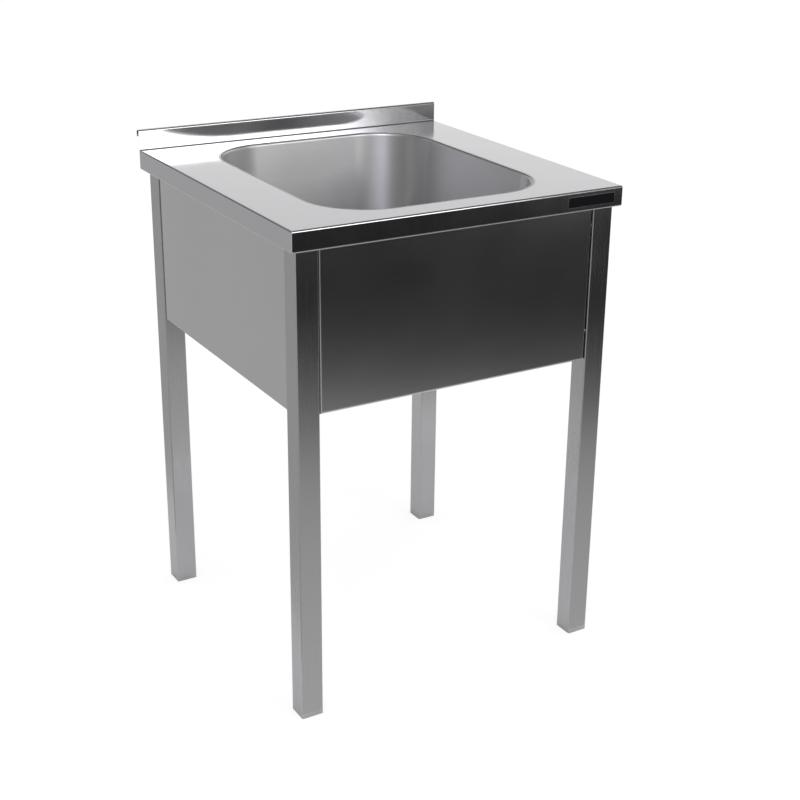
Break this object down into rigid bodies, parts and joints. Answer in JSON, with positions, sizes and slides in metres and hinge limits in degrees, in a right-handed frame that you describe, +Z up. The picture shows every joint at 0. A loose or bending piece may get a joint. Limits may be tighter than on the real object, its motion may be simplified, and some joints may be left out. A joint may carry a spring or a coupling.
{
  "type": "utility laundry sink",
  "caption": "Free-standing stainless laundry sink: pressed deck, deep drawn bowl, low rear upstand, square tube legs, sheet skirts and a lift-out basket strainer.",
  "frame": {"origin": "on the floor under the middle of the sink's outer box", "axes": "+Z up, +Y towards the wall behind the sink, +X to the right of someone standing at the front"},
  "size_m": [0.6, 0.6, 0.865],
  "materials": {
    "deck_steel": "fine brushed",
    "bowl_steel": "satin",
    "leg_steel": "brushed along the tube",
    "skirt_steel": "fine brushed",
    "bracket_steel": "plain mill finish",
    "fastener_steel": "bright",
    "waste_steel": "polished",
    "waste_plastic": "moulded",
    "plug_plastic": "moulded",
    "seal_rubber": "matt",
    "damping_rubber": "matt"
  },
  "bodies": {
    "sink": {"body_gasket": "seal_rubber", "coupling_nut": "waste_plastic", "deck_brace_left": "bracket_steel", "deck_brace_right": "bracket_steel", "deck_top": "deck_steel", "drain_locknut": "waste_plastic", "earth_tab": "bracket_steel", "flange_gasket": "seal_rubber", "foot_plug_front_left": "plug_plastic", "foot_plug_front_right": "plug_plastic", "foot_plug_rear_left": "plug_plastic", "foot_plug_rear_right": "plug_plastic", "friction_washer": "waste_plastic", "leg_front_left": "leg_steel", "leg_front_right": "leg_steel", "leg_rear_left": "leg_steel", "leg_rear_right": "leg_steel", "leg_screws": "fastener_steel", "leg_socket_front_left": "bracket_steel", "leg_socket_front_right": "bracket_steel", "leg_socket_rear_left": "bracket_steel", "leg_socket_rear_right": "bracket_steel", "rear_rail": "skirt_steel", "rivet_nuts": "fastener_steel", "sink_bowl": "bowl_steel", "skirt_front": "skirt_steel", "skirt_left": "skirt_steel", "skirt_right": "skirt_steel", "skirt_screws": "fastener_steel", "sound_pad_left": "damping_rubber", "sound_pad_right": "damping_rubber", "strainer_body": "waste_steel", "tail_washer": "seal_rubber", "tailpiece": "waste_plastic"},
    "basket": {"strainer_basket": "waste_steel", "basket_stopper": "seal_rubber", "basket_knob": "waste_steel", "basket_clip": "fastener_steel"}
  },
  "joints": [
    {"name": "basket_lift", "type": "slide", "parent": "sink", "child": "basket", "axis": [0, 0, 1], "range_m": [0, 0.36]}
  ]
}
